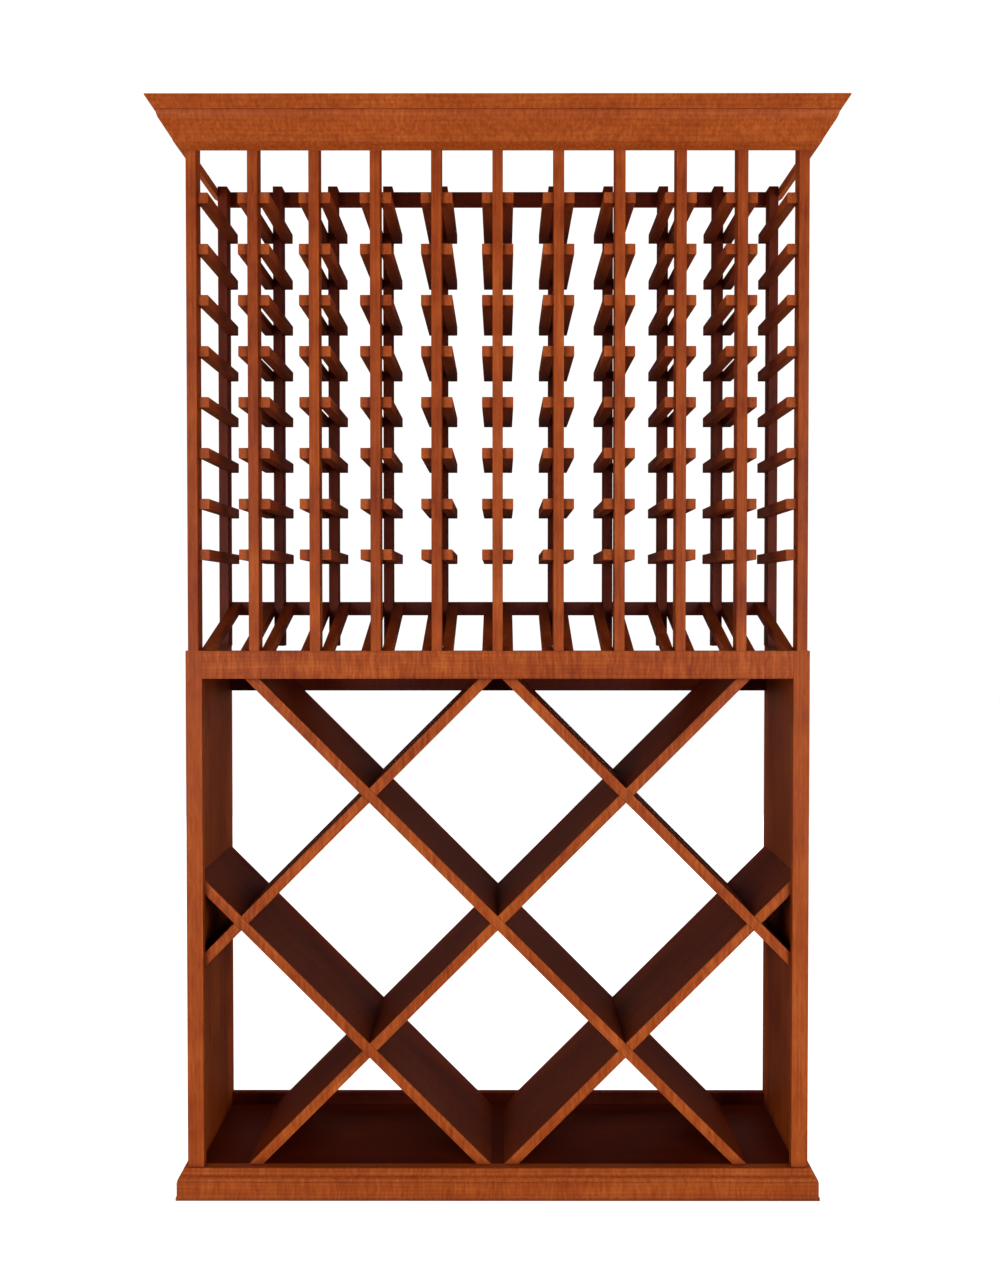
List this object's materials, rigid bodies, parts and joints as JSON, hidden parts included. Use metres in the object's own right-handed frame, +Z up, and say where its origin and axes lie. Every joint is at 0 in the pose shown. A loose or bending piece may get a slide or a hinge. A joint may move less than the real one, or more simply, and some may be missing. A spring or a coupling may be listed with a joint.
{
  "type": "wine rack",
  "caption": "Tall free-standing wooden wine rack: columns of bottle cradle rails and a sloped display row, mitred crown, on an open-backed case of diamond lattice bins with base moulding.",
  "frame": {"origin": "on the floor, at the centre of the rack's bounding box", "axes": "+Z up; +X to the right seen from the front; the front faces -Y"},
  "size_m": [1.1482, 0.3944, 1.83],
  "materials": {
    "rack_wood": "satin cherry stain",
    "case_wood": "satin cherry stain",
    "moulding_wood": "satin cherry stain",
    "dowel_wood": "raw beech",
    "screw_steel": "zinc plated",
    "brad_steel": "bright"
  },
  "bodies": {
    "root": {"back_upright_01": "rack_wood", "back_upright_02": "rack_wood", "back_upright_03": "rack_wood", "back_upright_04": "rack_wood", "back_upright_05": "rack_wood", "back_upright_06": "rack_wood", "back_upright_07": "rack_wood", "back_upright_08": "rack_wood", "back_upright_09": "rack_wood", "back_upright_10": "rack_wood", "back_upright_11": "rack_wood", "base_moulding_front": "moulding_wood", "base_moulding_left": "moulding_wood", "base_moulding_right": "moulding_wood", "bottle_rails_01": "rack_wood", "bottle_rails_02": "rack_wood", "bottle_rails_03": "rack_wood", "bottle_rails_04": "rack_wood", "bottle_rails_05": "rack_wood", "bottle_rails_06": "rack_wood", "bottle_rails_07": "rack_wood", "bottle_rails_08": "rack_wood", "bottle_rails_09": "rack_wood", "bottle_rails_10": "rack_wood", "case_back_bottom_rail": "case_wood", "case_back_top_rail": "case_wood", "case_bottom_rail": "case_wood", "case_floor": "case_wood", "case_side_left": "case_wood", "case_side_right": "case_wood", "case_stile_left": "case_wood", "case_stile_right": "case_wood", "case_top_rail": "case_wood", "crown_front": "moulding_wood", "crown_return_left": "moulding_wood", "crown_return_right": "moulding_wood", "display_cross_rail": "rack_wood", "display_rails": "rack_wood", "dowels": "dowel_wood", "front_upright_01": "rack_wood", "front_upright_02": "rack_wood", "front_upright_03": "rack_wood", "front_upright_04": "rack_wood", "front_upright_05": "rack_wood", "front_upright_06": "rack_wood", "front_upright_07": "rack_wood", "front_upright_08": "rack_wood", "front_upright_09": "rack_wood", "front_upright_10": "rack_wood", "front_upright_11": "rack_wood", "moulding_brads": "brad_steel", "rail_brads": "brad_steel", "rear_screws": "screw_steel", "slat_climbing_1": "case_wood", "slat_climbing_2": "case_wood", "slat_climbing_3": "case_wood", "slat_falling_1": "case_wood", "slat_falling_2": "case_wood", "slat_falling_3": "case_wood", "top_cross_rail": "rack_wood"}
  },
  "joints": []
}
